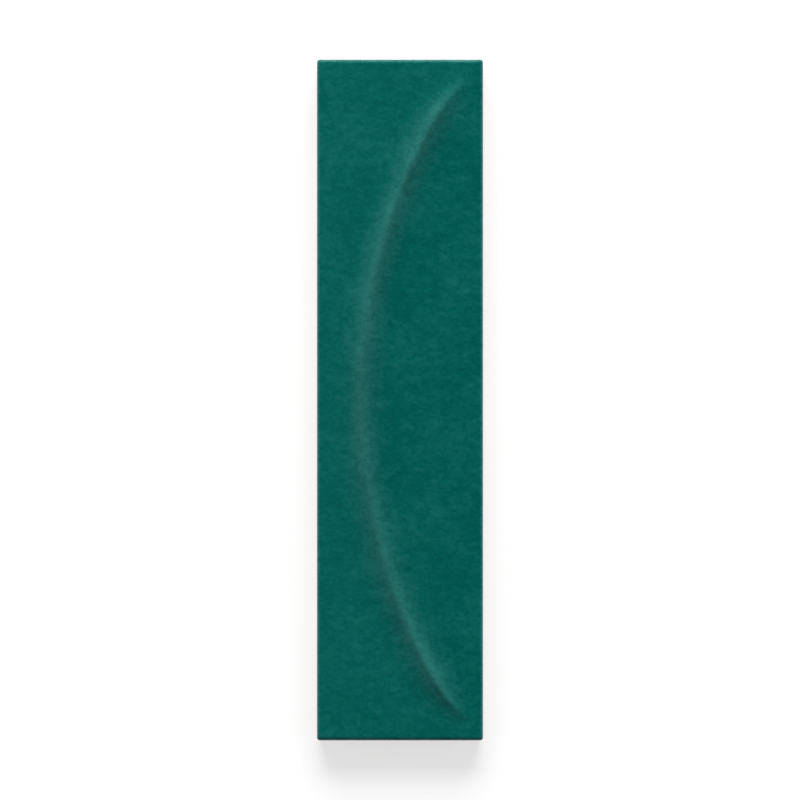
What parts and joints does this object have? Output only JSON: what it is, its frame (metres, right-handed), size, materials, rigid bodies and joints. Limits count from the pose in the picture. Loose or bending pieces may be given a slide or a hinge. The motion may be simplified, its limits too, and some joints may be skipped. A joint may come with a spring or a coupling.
{
  "type": "glazed stoneware tile",
  "caption": "Narrow oblong glazed stoneware wall tile with a soft raised crest bowing across its flat face, cushion edges and a ribbed back for adhesive.",
  "frame": {"origin": "middle of the ribbed back face", "axes": "+X across the tile towards the edge that the crest's two tips lie near, +Y along the tile, +Z out of the glazed face"},
  "size_m": [0.06, 0.246, 0.0105],
  "materials": {
    "glazed_stoneware": "satin teal-green glaze on face and edges, bare stoneware on the back"
  },
  "bodies": {
    "root": {"tile": "glazed_stoneware"}
  },
  "joints": []
}
